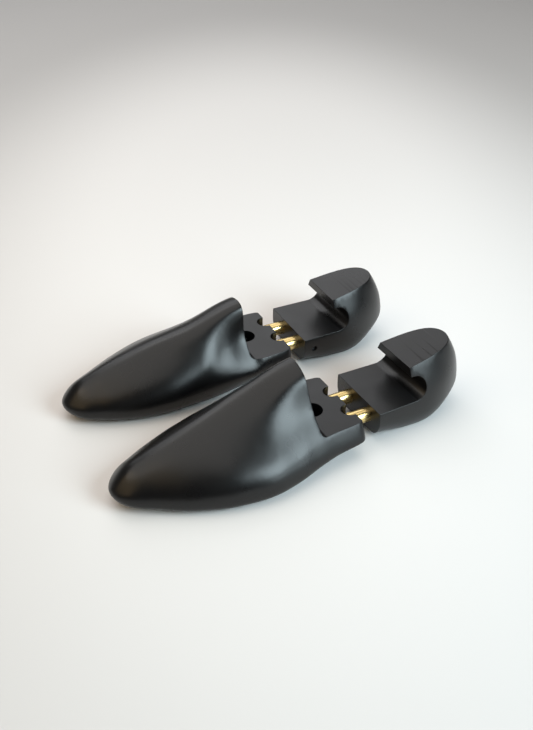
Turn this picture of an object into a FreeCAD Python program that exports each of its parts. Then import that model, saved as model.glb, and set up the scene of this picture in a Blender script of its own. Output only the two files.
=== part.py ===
import FreeCAD, Part
import os

# A pair of lasted shoe trees: two black lacquered wooden blocks a side, joined by twin brass tubes.
#
# The tubes are pinned in the heel block. They slide in closed nylon sleeves set in the toe block, and
# a spring in each sleeve pushes the heel block back. A cross pin in the toe block passes through a
# slot in both tubes, which sets the travel and keeps the two halves together.
#
# Each tree is drawn in its own frame: the front face of the heel block is y = 0, the toe points
# along -Y, the outer (lateral) side is +X and the floor is z = 0. The left tree is then placed in
# the frame of the pair, and the right tree mirrors it. All sizes are in millimetres.

Vec = FreeCAD.Vector
SIDES = {"left": 1, "right": -1}
RAILS = {"medial": -1, "lateral": 1}

DIMENSIONS = {
    # the pair
    "tree_offset": 56.9,
    "toe_out_angle": 0.8,
    "pair_centre_y": 55.3,
    # the wooden blocks
    "toe_tip_y": -203.0,
    "heel_back_y": 92.5,
    "block_gap": 15.2,
    "ledge_height": 29.25,
    # the toe block's wall, finger hole and notches
    "wall_y": -52.0,
    "wall_foot_radius": 4.0,
    "finger_hole_radius": 8.6,
    "finger_hole_y": -42.0,
    "finger_hole_depth": 18.0,
    "notch_radius": 6.8,
    "notch_centre_y": -16.4,
    # the heel block's grip and top
    "hook_front_y": 31.5,
    "grip_radius": 9.8,
    "grip_centre_y": 34.3,
    "heel_top_height": 55.5,
    "heel_top_slope": 8.6,
    # the twin tubes, with their sleeves and plugs
    "rail_spacing": 26.2,
    "rail_height": 18.65,
    "tube_radius": 5.75,
    "tube_wall": 0.9,
    "tube_front_y": -62.0,
    "tube_back_y": 40.0,
    "sliding_gap": 0.05,
    "pressed_gap": 0.02,
    "sleeve_wall": 0.9,
    "sleeve_front_y": -100.0,
    "sleeve_back_y": -24.5,
    "sleeve_end_thickness": 1.5,
    "plug_depth": 7.0,
    "plug_head_thickness": 1.2,
    "plug_nose_radius": 2.6,
    "plug_nose_length": 7.0,
    # the springs
    "spring_radius": 4.6,
    "spring_wire_radius": 0.55,
    "spring_turns": 11.0,
    # the cross pins
    "pin_radius": 2.0,
    "pin_chamfer": 0.3,
    "pin_mouth_radius": 2.5,
    "toe_pin_y": -28.5,
    "toe_pin_start_x": -31.0,
    "heel_pin_y": 9.8,
    "heel_pin_start_x": -27.0,
    "pin_end_x": 20.5,
    "travel": 12.0,
}

# Guide lines of the last, each as (y, value) from the toe to the heel.
LATERAL_WIDTH = [(-203, 13), (-191, 16), (-182, 20.5), (-154, 36), (-124, 46.2), (-98, 49.3),
                 (-77, 46.5),
                 (-57, 41.8), (-40, 38.4), (-20, 36.4), (-17, 35.6), (-15, 33.8), (0, 30), (15, 29.6),
                 (46, 28.8), (92, 25)]
MEDIAL_WIDTH = [(-203, 19), (-191, 23), (-180, 28), (-168, 33.4), (-142, 40.5), (-118, 43), (-95, 42.5),
                (-57, 40), (-40, 38.8), (-20, 36.6), (-17, 35.8), (-15, 34), (0, 30), (15, 29.6),
                (46, 28.8), (92, 25)]
TOP_HEIGHT = [(-203, 21), (-190, 28), (-165, 37.5), (-131, 48.5), (-93, 59.2), (-60, 70.6),
              (-50, 72.6), (-14, 76), (0, 80), (46, 85), (92, 88)]
RIDGE_SHIFT = [(-203, -3), (-165, -3), (-131, -5), (-93, -9.5), (-52, -10.5), (-14, -7), (0, 0),
               (92, 0)]
BOTTOM_HEIGHT = [(-203, 7.5), (-180, 3.8), (-155, 0.6), (-130, -0.4), (-95, -0.4), (-75, 0.8),
                 (-55, 3.6),
                 (-33, 8), (-14, 11), (0, 6.5), (20, 2.0), (40, -0.4), (58, 1.8), (74, 8.5), (92, 15)]
LATERAL_WIDEST = [(-203, 13), (-190, 11), (-165, 9.5), (-120, 9.5), (-80, 12), (-50, 16), (-14, 17),
                  (0, 22), (40, 20), (92, 24)]
MEDIAL_WIDEST = [(-203, 13), (-190, 11.5), (-165, 12), (-120, 14), (-93, 17), (-70, 20), (-52, 21),
                 (-40, 21), (-14, 21), (0, 22), (40, 20), (92, 24)]

# How much of the half width is left at each level between the widest line and the ridge.
LEVELS = (0.25, 0.5, 0.75, 0.93)
LATERAL_FLANK = [
    [(-203, 0.95), (-165, 0.94), (-124, 0.95), (-93, 0.93), (-70, 0.88), (-52, 0.85), (-42, 0.85),
     (-14, 0.85), (0, 0.95),
     (46, 0.95), (92, 0.99)],
    [(-203, 0.82), (-165, 0.78), (-124, 0.77), (-93, 0.71), (-70, 0.62), (-52, 0.58), (-14, 0.66),
     (0, 0.74),
     (46, 0.74), (92, 0.93)],
    [(-203, 0.58), (-165, 0.52), (-124, 0.49), (-93, 0.45), (-52, 0.42), (-14, 0.45), (0, 0.46),
     (46, 0.48),
     (92, 0.80)],
    [(-203, 0.30), (-165, 0.26), (-124, 0.23), (-93, 0.22), (-52, 0.28), (-14, 0.24), (46, 0.22),
     (92, 0.48)],
]
MEDIAL_FLANK = [
    [(-203, 0.95), (-165, 0.94), (-124, 0.95), (-93, 0.93), (-70, 0.82), (-52, 0.70), (-41, 0.82),
     (-14, 0.88), (0, 0.95),
     (46, 0.95), (92, 0.99)],
    [(-203, 0.82), (-165, 0.77), (-124, 0.78), (-93, 0.76), (-70, 0.55), (-52, 0.38), (-14, 0.66),
     (0, 0.74),
     (46, 0.74), (92, 0.93)],
    [(-203, 0.58), (-165, 0.50), (-124, 0.50), (-93, 0.50), (-52, 0.33), (-14, 0.45), (0, 0.46),
     (46, 0.48),
     (92, 0.80)],
    [(-203, 0.30), (-165, 0.26), (-124, 0.24), (-93, 0.27), (-52, 0.27), (-14, 0.24), (46, 0.22),
     (92, 0.48)],
]

TOE_CAP_LENGTH = 15.0
TOE_CAP_POWER = 0.5
HEEL_CAP_LENGTH = 48.0
HEEL_CAP_POWER = 0.58
CAP_STEPS = (0.004, 0.03, 0.09, 0.18, 0.31, 0.48, 0.70)
TOE_STATIONS = [*range(-180, -60, 8), *range(-60, -20, 4), -20, -18, -16.5, -15, -13]
HEEL_STATIONS = (-8, 6, 20, 32, 42)
HEEL_LEAN = 0.09
HEEL_FULLEST = 24.0
CUTTER_REACH = 150.0


def make_sheet(doc):
    """The driving dimensions, one row each, with the name as the alias of the value."""
    sheet = doc.addObject("Spreadsheet::Sheet", "Dimensions")
    for row, (name, value) in enumerate(DIMENSIONS.items(), start=1):
        sheet.set(f"A{row}", name)
        sheet.set(f"B{row}", str(value))
        sheet.setAlias(f"B{row}", name)
    doc.recompute()
    return sheet


def bind(obj, **formulas):
    """Ties properties of an object to the sheet; a formula names dimensions by their alias."""
    for prop, formula in formulas.items():
        words = sorted(DIMENSIONS, key=len, reverse=True)
        text = formula
        for number, word in enumerate(words):
            text = text.replace(word, f"#{number}#")
        for number, word in enumerate(words):
            text = text.replace(f"#{number}#", f"Dimensions.{word}")
        obj.setExpression(prop.replace("__", "."), text)


def along(guide, y):
    """The guide line's value at y, on a smooth curve that never overshoots its points."""
    steps = [(b[1] - a[1]) / (b[0] - a[0]) for a, b in zip(guide, guide[1:])]
    slopes = [steps[0]]
    for before, after in zip(steps, steps[1:]):
        slopes.append(2 * before * after / (before + after) if before * after > 0 else 0.0)
    slopes.append(steps[-1])
    y = min(max(y, guide[0][0]), guide[-1][0])
    for (y0, v0), (y1, v1), s0, s1 in zip(guide, guide[1:], slopes, slopes[1:]):
        if y <= y1:
            span = y1 - y0
            t = (y - y0) / span
            rise = v0 * (1 + 2 * t) * (1 - t) ** 2 + v1 * t * t * (3 - 2 * t)
            return rise + span * (s0 * t * (1 - t) ** 2 - s1 * t * t * (1 - t))


def end_cap(y):
    """1 along the last, falling to 0 on a rounded curve at the toe tip and at the heel's back."""
    toe = min((y - DIMENSIONS["toe_tip_y"]) / TOE_CAP_LENGTH, 1)
    heel = min((DIMENSIONS["heel_back_y"] - y) / HEEL_CAP_LENGTH, 1)
    return (1 - (1 - toe) ** 2) ** TOE_CAP_POWER * (1 - (1 - heel) ** 2) ** HEEL_CAP_POWER


def heel_lean(y, z):
    """How far the back of the heel leans forward at height z; it leans more towards its back."""
    return HEEL_LEAN * (z - HEEL_FULLEST) * max(y / DIMENSIONS["heel_back_y"], 0) ** 2


def last_section(y):
    """One cross-section of the last: a closed smooth curve around its sole, flanks and ridge."""
    cap = end_cap(y)
    middle = (along(LATERAL_WIDTH, y) - along(MEDIAL_WIDTH, y)) / 2
    core = along(LATERAL_WIDEST, y)
    top = core + (along(TOP_HEIGHT, y) - core) * cap
    bottom = core - (core - along(BOTTOM_HEIGHT, y)) * cap
    ridge = middle + (along(RIDGE_SHIFT, y) - middle) * cap

    def flank(width, height, levels, outward):
        widest = core + (height - core) * cap
        edge = middle + (outward * width - middle) * cap
        half = edge - middle
        side = [(middle + 0.58 * half, bottom),
                (middle + 0.83 * half, bottom + 0.15 * (widest - bottom)),
                (middle + 0.955 * half, bottom + 0.50 * (widest - bottom)),
                (edge, widest)]
        for level, guide in zip(LEVELS, levels):
            share = along(guide, y)
            side.append((ridge + (edge - ridge) * share, widest + (top - widest) * level))
        return side

    lateral = flank(along(LATERAL_WIDTH, y), along(LATERAL_WIDEST, y), LATERAL_FLANK, 1)
    medial = flank(along(MEDIAL_WIDTH, y), along(MEDIAL_WIDEST, y), MEDIAL_FLANK, -1)
    outline = [(middle, bottom)] + lateral + [(ridge, top)] + medial[::-1]
    points = [Vec(x, y - heel_lean(y, z), z) for x, z in outline]
    curve = Part.BSplineCurve()
    curve.interpolate(Points=points, PeriodicFlag=True, Parameters=list(range(len(points) + 1)))
    return Part.Wire(curve.toShape())


def last_blank(doc, name, stations):
    """A solid stretch of the last, lofted through its cross-sections."""
    blank = doc.addObject("Part::Feature", name)
    blank.Shape = Part.makeLoft([last_section(y) for y in stations], True, False)
    return blank


def box(doc, name, corner, size):
    """A cutter with its low corner and size given as formulas."""
    cutter = doc.addObject("Part::Box", name)
    bind(cutter, Length=size[0], Width=size[1], Height=size[2],
         Placement__Base__x=corner[0], Placement__Base__y=corner[1], Placement__Base__z=corner[2])
    return cutter


def cylinder(doc, name, axis, base, radius, length):
    """A round cutter or bar along one of the axes, with its base point and sizes as formulas."""
    bar = doc.addObject("Part::Cylinder", name)
    bar.Placement = FreeCAD.Placement(Vec(), FreeCAD.Rotation(Vec(0, 0, 1), axis))
    bind(bar, Radius=radius, Height=length,
         Placement__Base__x=base[0], Placement__Base__y=base[1], Placement__Base__z=base[2])
    return bar


def fuse(doc, name, shapes):
    union = doc.addObject("Part::MultiFuse", name)
    union.Shapes = shapes
    return union


def cut(doc, name, base, tool):
    difference = doc.addObject("Part::Cut", name)
    difference.Base = base
    difference.Tool = tool
    return difference


def rail_x(rail):
    return f"{RAILS[rail]} * rail_spacing / 2"


def rail_bores(doc, block, front, back, radius):
    """The two round holes along Y that hold the tubes or their sleeves in a block."""
    return [cylinder(doc, f"{block}_{rail}_bore", Vec(0, 1, 0), (rail_x(rail), front, "rail_height"),
                     radius, f"{back} - ({front})") for rail in RAILS]


def pin_hole(doc, block):
    """The blind hole for a cross pin, with a wider mouth on the inner side of the tree."""
    reach = str(CUTTER_REACH)
    start = (f"-{reach}", f"{block}_pin_y", "rail_height")
    return [cylinder(doc, f"{block}_pin_hole", Vec(1, 0, 0), start, "pin_radius + pressed_gap",
                     f"{reach} + pin_end_x"),
            cylinder(doc, f"{block}_pin_mouth", Vec(1, 0, 0), start, "pin_mouth_radius",
                     f"{reach} + {block}_pin_start_x")]


def floor_cutter(doc, block):
    """Takes off what bulges under the floor, which leaves the sole a flat patch to stand on."""
    reach = str(CUTTER_REACH)
    return box(doc, f"{block}_floor", (f"-{reach}", f"-2 * {reach}", f"-{reach}"),
               (f"2 * {reach}", f"4 * {reach}", reach))


def toe_block(doc):
    """The forepart: a solid last with a ledge, a finger hole and two notches at its back."""
    tip = DIMENSIONS["toe_tip_y"]
    stations = [tip + step * TOE_CAP_LENGTH for step in CAP_STEPS] + list(TOE_STATIONS)
    blank = last_blank(doc, "toe_blank", stations)
    reach = str(CUTTER_REACH)
    above_ledge = box(doc, "toe_ledge_cut", (f"-{reach}", "wall_y", "ledge_height + wall_foot_radius"),
                      (f"2 * {reach}", reach, reach))
    on_ledge = box(doc, "toe_ledge_floor", (f"-{reach}", "wall_y + wall_foot_radius", "ledge_height"),
                   (f"2 * {reach}", reach, f"wall_foot_radius + {reach}"))
    foot = cylinder(doc, "toe_wall_foot", Vec(1, 0, 0),
                    (f"-{reach}", "wall_y + wall_foot_radius", "ledge_height + wall_foot_radius"),
                    "wall_foot_radius", f"2 * {reach}")
    behind = box(doc, "toe_back_cut", (f"-{reach}", "-block_gap", f"-{reach}"),
                 (f"2 * {reach}", reach, f"2 * {reach}"))
    hole = cylinder(doc, "toe_finger_hole", Vec(0, 0, 1),
                    ("0", "finger_hole_y", "ledge_height - finger_hole_depth"),
                    "finger_hole_radius", "finger_hole_depth + 2 * wall_foot_radius")
    cutters = [above_ledge, on_ledge, foot, behind, hole, floor_cutter(doc, "toe")]
    for rail in RAILS:
        cutters.append(cylinder(doc, f"toe_{rail}_notch", Vec(0, 0, 1),
                                (rail_x(rail), "notch_centre_y", "rail_height"),
                                "notch_radius", "ledge_height"))
        cutters.append(box(doc, f"toe_{rail}_notch_mouth",
                           (f"{rail_x(rail)} - notch_radius", "notch_centre_y", "rail_height"),
                           ("2 * notch_radius", reach, "ledge_height")))
    sleeve_radius = "tube_radius + sliding_gap + sleeve_wall + pressed_gap"
    cutters += rail_bores(doc, "toe", "sleeve_front_y", "0", sleeve_radius)
    cutters += pin_hole(doc, "toe")
    return cut(doc, "toe_cut", blank, fuse(doc, "toe_cutters", cutters))


def heel_block(doc):
    """The heel part: a ledge in front, a rounded finger grip and a hook with a sloping flat top."""
    back = DIMENSIONS["heel_back_y"]
    stations = list(HEEL_STATIONS) + [back - step * HEEL_CAP_LENGTH for step in reversed(CAP_STEPS)]
    blank = last_blank(doc, "heel_blank", stations)
    reach = str(CUTTER_REACH)
    grip_top = "ledge_height + 2 * grip_radius"
    before = box(doc, "heel_front_cut", (f"-{reach}", f"-{reach}", f"-{reach}"),
                 (f"2 * {reach}", reach, f"2 * {reach}"))
    over_ledge = box(doc, "heel_ledge_cut", (f"-{reach}", f"-{reach}", "ledge_height"),
                     (f"2 * {reach}", f"{reach} + hook_front_y", reach))
    grip = box(doc, "heel_grip_cut", (f"-{reach}", "0", "ledge_height"),
               (f"2 * {reach}", "grip_centre_y", "2 * grip_radius"))
    throat = cylinder(doc, "heel_grip_throat", Vec(1, 0, 0),
                      (f"-{reach}", "grip_centre_y", "ledge_height + grip_radius"),
                      "grip_radius", f"2 * {reach}")
    top = box(doc, "heel_top_cut", (f"-{reach}", "hook_front_y", "heel_top_height"),
              (f"2 * {reach}", reach, reach))
    slope = FreeCAD.Rotation(Vec(1, 0, 0), DIMENSIONS["heel_top_slope"])
    top.Placement = FreeCAD.Placement(top.Placement.Base, slope)
    cutters = [before, over_ledge, grip, throat, top, floor_cutter(doc, "heel")]
    cutters += rail_bores(doc, "heel", "-1", "tube_back_y", "tube_radius + pressed_gap")
    cutters += pin_hole(doc, "heel")
    return cut(doc, "heel_cut", blank, fuse(doc, "heel_cutters", cutters))


def tube(doc, rail):
    """A brass tube, drilled for the heel pin and slotted for the toe pin to slide along."""
    start = (rail_x(rail), "tube_front_y", "rail_height")
    length = "tube_back_y - tube_front_y"
    outside = cylinder(doc, f"{rail}_tube_outside", Vec(0, 1, 0), start, "tube_radius", length)
    inside = cylinder(doc, f"{rail}_tube_inside", Vec(0, 1, 0), start, "tube_radius - tube_wall", length)
    across = f"{rail_x(rail)} - 2 * tube_radius"
    pin_hole = cylinder(doc, f"{rail}_tube_pin_hole", Vec(1, 0, 0), (across, "heel_pin_y", "rail_height"),
                        "pin_radius + pressed_gap", "4 * tube_radius")
    slot = [cylinder(doc, f"{rail}_tube_slot_{end}", Vec(1, 0, 0), (across, y, "rail_height"),
                     "pin_radius + sliding_gap", "4 * tube_radius")
            for end, y in (("front", "toe_pin_y"), ("back", "toe_pin_y + travel"))]
    slot.append(box(doc, f"{rail}_tube_slot", (across, "toe_pin_y", "rail_height - pin_radius - sliding_gap"),
                    ("4 * tube_radius", "travel", "2 * (pin_radius + sliding_gap)")))
    return cut(doc, f"{rail}_tube_cut", outside, fuse(doc, f"{rail}_tube_cutters", [inside, pin_hole] + slot))


def sleeve(doc, rail):
    """The nylon sleeve a tube slides in; its closed front end takes the push of the spring."""
    inner = "tube_radius + sliding_gap"
    outside = cylinder(doc, f"{rail}_sleeve_outside", Vec(0, 1, 0),
                       (rail_x(rail), "sleeve_front_y", "rail_height"),
                       f"{inner} + sleeve_wall", "sleeve_back_y - sleeve_front_y")
    inside = cylinder(doc, f"{rail}_sleeve_inside", Vec(0, 1, 0),
                      (rail_x(rail), "sleeve_front_y + sleeve_end_thickness", "rail_height"),
                      inner, "sleeve_back_y - sleeve_front_y")
    pin_hole = cylinder(doc, f"{rail}_sleeve_pin_hole", Vec(1, 0, 0),
                        (f"{rail_x(rail)} - 2 * tube_radius", "toe_pin_y", "rail_height"),
                        "pin_radius + pressed_gap", "4 * tube_radius")
    return cut(doc, f"{rail}_sleeve_cut", outside, fuse(doc, f"{rail}_sleeve_cutters", [inside, pin_hole]))


def tube_plug(doc, rail):
    """Closes the front of a tube: a stem pressed inside, a head and a nose that centres the spring."""
    x, z = rail_x(rail), "rail_height"
    stem = cylinder(doc, f"{rail}_plug_stem", Vec(0, 1, 0), (x, "tube_front_y - plug_head_thickness", z),
                    "tube_radius - tube_wall - pressed_gap", "plug_depth + plug_head_thickness")
    head = cylinder(doc, f"{rail}_plug_head", Vec(0, 1, 0), (x, "tube_front_y - plug_head_thickness", z),
                    "tube_radius - sliding_gap", "plug_head_thickness")
    nose = cylinder(doc, f"{rail}_plug_nose", Vec(0, 1, 0),
                    (x, "tube_front_y - plug_head_thickness - plug_nose_length", z),
                    "plug_nose_radius", "plug_nose_length + plug_head_thickness")
    return fuse(doc, f"{rail}_plug", [stem, head, nose])


def spring(doc, rail):
    """The compression spring between the end of the sleeve and the head of the plug."""
    front = "sleeve_front_y + sleeve_end_thickness + spring_wire_radius"
    length = f"tube_front_y - plug_head_thickness - spring_wire_radius - ({front})"
    helix = doc.addObject("Part::Helix", f"{rail}_spring_path")
    helix.Placement = FreeCAD.Placement(Vec(), FreeCAD.Rotation(Vec(0, 0, 1), Vec(0, 1, 0)))
    bind(helix, Radius="spring_radius", Height=length, Pitch=f"({length}) / spring_turns",
         Placement__Base__x=rail_x(rail), Placement__Base__y=front, Placement__Base__z="rail_height")
    doc.recompute()
    start = helix.Shape.Vertexes[0].Point
    wire = doc.addObject("Part::Circle", f"{rail}_spring_wire")
    bind(wire, Radius="spring_wire_radius")
    tangent = helix.Shape.Edges[0].tangentAt(helix.Shape.Edges[0].FirstParameter)
    wire.Placement = FreeCAD.Placement(start, FreeCAD.Rotation(Vec(0, 0, 1), tangent))
    coil = doc.addObject("Part::Sweep", f"{rail}_spring_coil")
    coil.Sections = [wire]
    coil.Spine = (helix, ["Edge1"])
    coil.Solid = True
    coil.Frenet = True
    return coil


def cross_pin(doc, block):
    """A steel dowel across both tubes, pushed in from the inner side of the tree."""
    bar = cylinder(doc, f"{block}_pin_bar", Vec(1, 0, 0), (f"{block}_pin_start_x", f"{block}_pin_y", "rail_height"),
                   "pin_radius", f"pin_end_x - {block}_pin_start_x")
    doc.recompute()
    pin = doc.addObject("Part::Chamfer", f"{block}_pin_dowel")
    pin.Base = bar
    rims = [i for i, edge in enumerate(bar.Shape.Edges, start=1) if edge.isClosed()]
    pin.Edges = [(i, DIMENSIONS["pin_chamfer"], DIMENSIONS["pin_chamfer"]) for i in rims]
    return pin


def tree_pieces(doc):
    """Every piece of the left tree in the tree's own frame, by name."""
    pieces = {
        "toe_block": toe_block(doc),
        "heel_block": heel_block(doc),
        "toe_pin": cross_pin(doc, "toe"),
        "heel_pin": cross_pin(doc, "heel"),
    }
    for rail in RAILS:
        pieces[f"{rail}_tube"] = tube(doc, rail)
        pieces[f"{rail}_sleeve"] = sleeve(doc, rail)
        pieces[f"{rail}_tube_plug"] = tube_plug(doc, rail)
        pieces[f"{rail}_spring"] = spring(doc, rail)
    return pieces


def place_left(piece, name):
    """Turns a piece out by the toe-out angle and moves it to the left tree's place in the pair."""
    piece.Label = f"left_{name}"
    piece.Placement = FreeCAD.Placement(Vec(), FreeCAD.Rotation(Vec(0, 0, 1), 1))
    bind(piece, Placement__Rotation__Angle="toe_out_angle",
         Placement__Base__x="tree_offset", Placement__Base__y="pair_centre_y")
    return piece


def mirror_right(doc, left, name):
    """The right tree's piece is the left one mirrored across the middle of the pair."""
    piece = doc.addObject("Part::Mirroring", f"mirrored_{name}")
    piece.Label = f"right_{name}"
    piece.Source = left
    piece.Normal = Vec(1, 0, 0)
    return piece


def export(pieces):
    """Checks every piece and writes it as its own STEP file."""
    os.makedirs("parts", exist_ok=True)
    for piece in pieces:
        shape = piece.Shape
        if shape.isNull() or not shape.isValid() or len(shape.Solids) != 1:
            raise RuntimeError(f"{piece.Label} isn't one valid solid")
        shape.Solids[0].exportStep(f"parts/{piece.Label}.step")


def main():
    doc = FreeCAD.newDocument("shoe_trees")
    make_sheet(doc)
    pieces = []
    for name, piece in tree_pieces(doc).items():
        left = place_left(piece, name)
        pieces += [left, mirror_right(doc, left, name)]
    doc.recompute()
    for obj in doc.Objects:
        if "Invalid" in obj.State or "Error" in obj.State:
            raise RuntimeError(f"{obj.Label}: {obj.State}")
    export(pieces)


main()
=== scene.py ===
import math

import bmesh
import bpy
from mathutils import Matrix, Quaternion, Vector


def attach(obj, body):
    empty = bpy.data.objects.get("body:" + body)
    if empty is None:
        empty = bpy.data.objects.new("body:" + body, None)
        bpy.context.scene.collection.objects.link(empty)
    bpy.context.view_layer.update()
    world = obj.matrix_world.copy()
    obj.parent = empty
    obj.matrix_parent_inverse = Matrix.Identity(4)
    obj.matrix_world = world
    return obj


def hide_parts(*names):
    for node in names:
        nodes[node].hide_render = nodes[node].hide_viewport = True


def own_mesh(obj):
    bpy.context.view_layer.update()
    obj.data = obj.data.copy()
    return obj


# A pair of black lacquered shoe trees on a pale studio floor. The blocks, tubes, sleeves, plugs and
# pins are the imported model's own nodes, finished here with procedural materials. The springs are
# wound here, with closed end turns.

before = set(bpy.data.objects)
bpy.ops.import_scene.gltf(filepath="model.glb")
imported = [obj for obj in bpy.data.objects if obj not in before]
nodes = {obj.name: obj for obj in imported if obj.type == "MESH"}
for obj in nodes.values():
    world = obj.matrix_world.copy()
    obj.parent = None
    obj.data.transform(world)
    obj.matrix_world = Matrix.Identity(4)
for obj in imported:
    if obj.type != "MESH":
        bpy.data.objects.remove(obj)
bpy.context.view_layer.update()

MM = 0.001
TREE_OFFSET = 56.9 * MM
TREE_CENTRE_Y = 55.3 * MM
TOE_OUT = math.radians(0.8)
LEDGE_HEIGHT = 29.25 * MM
SANDED_EDGE = 1.2 * MM
SANDED_ANGLE = math.radians(42)
LEDGE_BAND = 0.1 * MM
NEARLY_LEVEL = 0.985
RAIL_X = 13.1 * MM
RAIL_HEIGHT = 18.65 * MM
SLEEVE_END_Y = -98.5 * MM
PLUG_HEAD_Y = -63.2 * MM
COIL_RADIUS = 4.6 * MM
WIRE_RADIUS = 0.55 * MM
TURNS = 11
STEPS_PER_TURN = 26
WIRE_SIDES = 10


class Graph:
    """Builds a material's node tree with short calls."""

    def __init__(self, name):
        self.material = bpy.data.materials.new(name)
        self.material.use_nodes = True
        self.tree = self.material.node_tree
        self.shader = self.tree.nodes["Principled BSDF"]

    def node(self, kind, inputs=(), **settings):
        made = self.tree.nodes.new(kind)
        for key, value in settings.items():
            setattr(made, key, value)
        for key, value in dict(inputs).items():
            self.feed(made.inputs[key], value)
        return made

    def feed(self, socket, value):
        if isinstance(value, bpy.types.NodeSocket):
            self.tree.links.new(value, socket)
        else:
            socket.default_value = value

    def math(self, operation, *values):
        made = self.node("ShaderNodeMath", operation=operation)
        for socket, value in zip(made.inputs, values):
            self.feed(socket, value)
        return made.outputs[0]

    def mix(self, factor, a, b):
        made = self.node("ShaderNodeMix", {0: factor}, data_type="RGBA")
        self.feed(made.inputs[6], a)
        self.feed(made.inputs[7], b)
        return made.outputs[2]

    def noise(self, vector, scale, detail=2.0, roughness=0.5):
        return self.node("ShaderNodeTexNoise", {"Vector": vector, "Scale": scale, "Detail": detail,
                                                "Roughness": roughness}).outputs[0]

    def stretch(self, vector, scale):
        made = self.node("ShaderNodeVectorMath", {0: vector, 1: scale}, operation="MULTIPLY")
        return made.outputs[0]

    def ramp(self, value, low, high, to_low=0.0, to_high=1.0):
        return self.node("ShaderNodeMapRange", {0: value, 1: low, 2: high, 3: to_low, 4: to_high},
                         interpolation_type="SMOOTHSTEP").outputs[0]


def position(graph):
    """Where the surface is on the object, at rest, in metres."""
    return graph.node("ShaderNodeTexCoord").outputs["Object"]


def lacquered_wood():
    """Black satin lacquer on fine-grained wood; the faces cut flat are a little flatter in sheen."""
    g = Graph("lacquered_wood")
    here = position(g)
    height = g.node("ShaderNodeSeparateXYZ", {0: here}).outputs[2]
    facing = g.node("ShaderNodeSeparateXYZ", {0: g.node("ShaderNodeNewGeometry").outputs["True Normal"]})
    off_ledge = g.math("ABSOLUTE", g.math("SUBTRACT", height, LEDGE_HEIGHT))
    level = g.math("GREATER_THAN", facing.outputs[2], NEARLY_LEVEL)
    ledge = g.math("MULTIPLY", g.math("LESS_THAN", off_ledge, LEDGE_BAND), level)
    grain = g.noise(g.stretch(here, (2000.0, 400.0, 2000.0)), 1.0, 2.0)
    peel = g.noise(here, 1400.0, 2.0)
    cloud = g.noise(here, 40.0, 2.0)
    tone = g.mix(cloud, (0.0014, 0.0014, 0.0017, 1), (0.0024, 0.0023, 0.0026, 1))
    g.feed(g.shader.inputs["Base Color"], g.mix(ledge, tone, (0.0050, 0.0050, 0.0055, 1)))
    satin = g.ramp(cloud, 0.3, 0.7, 0.27, 0.31)
    g.feed(g.shader.inputs["Specular IOR Level"], 0.42)
    g.feed(g.shader.inputs["Roughness"], g.math("ADD", satin, g.math("MULTIPLY", ledge, 0.06)))
    relief = g.math("ADD", g.math("MULTIPLY", peel, 0.6), g.math("MULTIPLY", grain, 0.4))
    edge = g.node("ShaderNodeBevel", {"Radius": 0.7 * MM}, samples=6)
    bump = g.node("ShaderNodeBump", {"Strength": 0.16, "Distance": 0.05 * MM, "Height": relief,
                                     "Normal": edge.outputs[0]})
    g.feed(g.shader.inputs["Normal"], bump.outputs[0])
    return g.material


def metal(name, colour, roughness, marks):
    """A metal with fine lengthwise marks."""
    g = Graph(name)
    here = position(g)
    streak = g.noise(g.stretch(here, (2500.0, 50.0, 2500.0)), 1.0, 2.0)
    g.feed(g.shader.inputs["Metallic"], 1.0)
    darker = tuple(channel * 0.88 for channel in colour)
    g.feed(g.shader.inputs["Base Color"], g.mix(streak, (*darker, 1), (*colour, 1)))
    g.feed(g.shader.inputs["Roughness"], g.ramp(streak, 0.3, 0.7, roughness, roughness + 0.08))
    bump = g.node("ShaderNodeBump", {"Strength": marks, "Distance": 0.02 * MM, "Height": streak})
    g.feed(g.shader.inputs["Normal"], bump.outputs[0])
    return g.material


def black_nylon():
    g = Graph("black_nylon")
    g.feed(g.shader.inputs["Base Color"], (0.010, 0.010, 0.010, 1))
    g.feed(g.shader.inputs["Roughness"], g.ramp(g.noise(position(g), 900.0), 0.3, 0.7, 0.45, 0.6))
    return g.material


def floor_material():
    """Near-white paper with a painted pool of light round the object; painted shade greys it away from the
    object.
    """
    g = Graph("floor_paper")
    here = position(g)
    # Painted light: an elliptical pool of light beside the object, fading into painted shade towards the
    # far floor.
    painted_light_pool = g.node("ShaderNodeMapping", {"Vector": here, "Location": (-0.36, 0.19, 0),
                                        "Rotation": (0, 0, math.radians(-27)), "Scale": (0.85, 0.46, 1)},
                  vector_type="TEXTURE")
    far = g.node("ShaderNodeVectorMath", {0: painted_light_pool.outputs[0]}, operation="LENGTH").outputs["Value"]
    painted_shade = g.ramp(far, 0.35, 1.1)
    g.feed(g.shader.inputs["Base Color"], g.mix(painted_shade, (0.80, 0.782, 0.775, 1), (0.52, 0.508, 0.503, 1)))
    g.feed(g.shader.inputs["Roughness"], 0.75)
    return g.material


FINISHES = {
    "toe_block": "lacquered_wood", "heel_block": "lacquered_wood", "tube": "polished_brass",
    "sleeve": "black_nylon", "spring": "spring_steel", "tube_plug": "turned_steel", "pin": "dark_steel",
}


def finish_nodes():
    """Gives every CAD node the finish of its material slot."""
    made = {
        "lacquered_wood": lacquered_wood(),
        "polished_brass": metal("polished_brass", (0.88, 0.66, 0.29), 0.22, 0.15),
        "black_nylon": black_nylon(),
        "spring_steel": metal("spring_steel", (0.60, 0.61, 0.63), 0.25, 0.10),
        "turned_steel": metal("turned_steel", (0.55, 0.56, 0.58), 0.22, 0.10),
        "dark_steel": metal("dark_steel", (0.12, 0.12, 0.13), 0.35, 0.10),
    }
    for name, node in nodes.items():
        finish = next(slot for end, slot in sorted(FINISHES.items(), key=lambda f: -len(f[0]))
                      if name.endswith(end))
        if not node.material_slots:
            raise RuntimeError(f"{name} has no material slot")
        for slot in node.material_slots:
            slot.link = "OBJECT"
            slot.material = made[finish]


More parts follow.
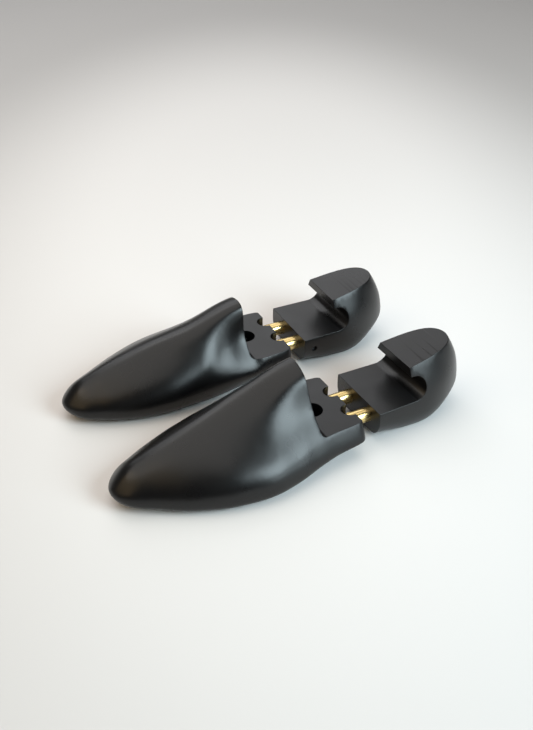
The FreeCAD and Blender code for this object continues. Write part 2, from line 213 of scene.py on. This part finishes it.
def in_pair(side, point):
    """A point of one tree, in the frame of the pair; side is 1 for the left tree, -1 for the right."""
    x, y, z = point
    across = TREE_OFFSET + x * math.cos(TOE_OUT) - y * math.sin(TOE_OUT)
    return Vector((side * across, TREE_CENTRE_Y + x * math.sin(TOE_OUT) + y * math.cos(TOE_OUT), z))


def coil_path(centre_x, steps):
    """The middle of the wire: closed end turns, open turns between, and a flat seat at both ends."""
    front = SLEEVE_END_Y + WIRE_RADIUS
    length = PLUG_HEAD_Y - SLEEVE_END_Y - 2 * WIRE_RADIUS
    dead = 1.02 * 2 * WIRE_RADIUS
    rise = (length - 2 * dead) / (TURNS - 2)
    for step in range(steps + 1):
        turn = TURNS * step / steps
        y = dead * min(turn, 1) + rise * min(max(turn - 1, 0), TURNS - 2) + dead * max(turn - TURNS + 1, 0)
        angle = 2 * math.pi * turn
        yield Vector((centre_x + COIL_RADIUS * math.cos(angle), front + y,
                      RAIL_HEIGHT + COIL_RADIUS * math.sin(angle)))


def spring(side_name, rail, centre_x):
    """A wound steel spring in place of the CAD one."""
    side = 1 if side_name == "left" else -1
    path = [in_pair(side, point) for point in coil_path(centre_x, STEPS_PER_TURN * TURNS)]
    vertices = []
    for index, point in enumerate(path):
        along = (path[min(index + 1, len(path) - 1)] - path[max(index - 1, 0)]).normalized()
        out = point - in_pair(side, (centre_x, point.y - TREE_CENTRE_Y, RAIL_HEIGHT))
        out = (out - along * out.dot(along)).normalized()
        beside = along.cross(out)
        for k in range(WIRE_SIDES):
            a = 2 * math.pi * k / WIRE_SIDES
            vertices.append(point + WIRE_RADIUS * (out * math.cos(a) + beside * math.sin(a)))
    faces = [[i * WIRE_SIDES + k, i * WIRE_SIDES + (k + 1) % WIRE_SIDES,
              (i + 1) * WIRE_SIDES + (k + 1) % WIRE_SIDES, (i + 1) * WIRE_SIDES + k]
             for i in range(len(path) - 1) for k in range(WIRE_SIDES)]
    faces.append(list(range(WIRE_SIDES)))
    faces.append([(len(path) - 1) * WIRE_SIDES + k for k in range(WIRE_SIDES)])
    mesh = bpy.data.meshes.new(f"{side_name}_{rail}_coil")
    mesh.from_pydata([tuple(v) for v in vertices], [], faces)
    shape = bmesh.new()
    shape.from_mesh(mesh)
    bmesh.ops.recalc_face_normals(shape, faces=shape.faces)
    shape.to_mesh(mesh)
    shape.free()
    for face in mesh.polygons:
        face.use_smooth = True
    coil = bpy.data.objects.new(f"{side_name}_{rail}_coil", mesh)
    bpy.context.scene.collection.objects.link(coil)
    mesh.materials.append(bpy.data.materials["spring_steel"])
    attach(coil, f"{side_name}_toe")
    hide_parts(f"{side_name}_{rail}_spring")
    anchor = in_pair(side, (centre_x, SLEEVE_END_Y, RAIL_HEIGHT))
    along = (in_pair(side, (centre_x, PLUG_HEAD_Y, RAIL_HEIGHT)) - anchor).normalized()
    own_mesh(coil)


def soften(name):
    """Rounds the sanded edges of a wooden block."""
    block = nodes[name]
    weld = block.modifiers.new("weld", "WELD")
    weld.merge_threshold = 0.01 * MM
    bevel = block.modifiers.new("sanded_edges", "BEVEL")
    bevel.width = SANDED_EDGE
    bevel.segments = 3
    bevel.limit_method = "ANGLE"
    bevel.angle_limit = SANDED_ANGLE
    bevel.use_clamp_overlap = True
    bevel.harden_normals = True


def studio_floor():
    bpy.ops.mesh.primitive_plane_add(size=12)
    floor = bpy.context.object
    floor.name = "studio_floor"
    floor.data.materials.append(floor_material())


def softbox(name, heading, elevation, distance, size, radiance, colour):
    """A rectangular soft light that faces the object; heading 0 is +X and 90 is +Y."""
    h, e = math.radians(heading), math.radians(elevation)
    away = Vector((math.cos(h) * math.cos(e), math.sin(h) * math.cos(e), math.sin(e)))
    data = bpy.data.lights.new(name, "AREA")
    data.shape = "RECTANGLE"
    data.size, data.size_y = size
    data.energy = radiance * math.pi * size[0] * size[1]
    data.color = colour
    light = bpy.data.objects.new(name, data)
    bpy.context.scene.collection.objects.link(light)
    light.location = away * distance
    light.rotation_mode = "QUATERNION"
    light.rotation_quaternion = (-away).to_track_quat("-Z", "Y")


def surround(colour, strength):
    """A dim even surround."""
    world = bpy.data.worlds.new("studio")
    bpy.context.scene.world = world
    world.use_nodes = True
    world.node_tree.nodes["Background"].inputs["Color"].default_value = (*colour, 1)
    world.node_tree.nodes["Background"].inputs["Strength"].default_value = strength


def camera(place, azimuth, elevation, roll, lens):
    """A camera at a place, looking down at an elevation from an azimuth round the object."""
    data = bpy.data.cameras.new("camera")
    data.lens = lens
    data.sensor_width = 36
    made = bpy.data.objects.new("camera", data)
    bpy.context.scene.collection.objects.link(made)
    a, e = math.radians(azimuth), math.radians(elevation)
    back = Vector((math.sin(a) * math.cos(e), -math.cos(a) * math.cos(e), math.sin(e)))
    made.location = place
    made.rotation_mode = "QUATERNION"
    made.rotation_quaternion = (-back).to_track_quat("-Z", "Y") @ Quaternion((0, 0, 1), roll)
    bpy.context.scene.camera = made


finish_nodes()
for side_name in ("left", "right"):
    spring(side_name, "lateral", RAIL_X)
    spring(side_name, "medial", -RAIL_X)
    for end in ("toe", "heel"):
        soften(f"{side_name}_{end}_block")
studio_floor()
softbox("window", 28, 34, 1.3, (0.72, 0.62), 12.0, (0.78, 0.94, 1.0))
softbox("window_low", 28, 11, 1.3, (0.66, 0.34), 4.5, (0.80, 0.95, 1.0))
softbox("ceiling", 225, 78, 1.5, (2.0, 2.0), 1.45, (1.0, 0.97, 0.93))
softbox("rear", 168, 36, 2.3, (2.1, 1.4), 1.5, (0.97, 0.98, 1.0))
softbox("warm_fill", 276, 38, 1.4, (1.3, 1.1), 1.0, (1.0, 0.74, 0.42))
surround((1.0, 0.96, 0.9), 0.10)
bpy.context.scene.view_settings.view_transform = "Standard"
camera((0.5131, -0.2572, 0.4402), 62.963, 34.936, -0.005, 43.68)
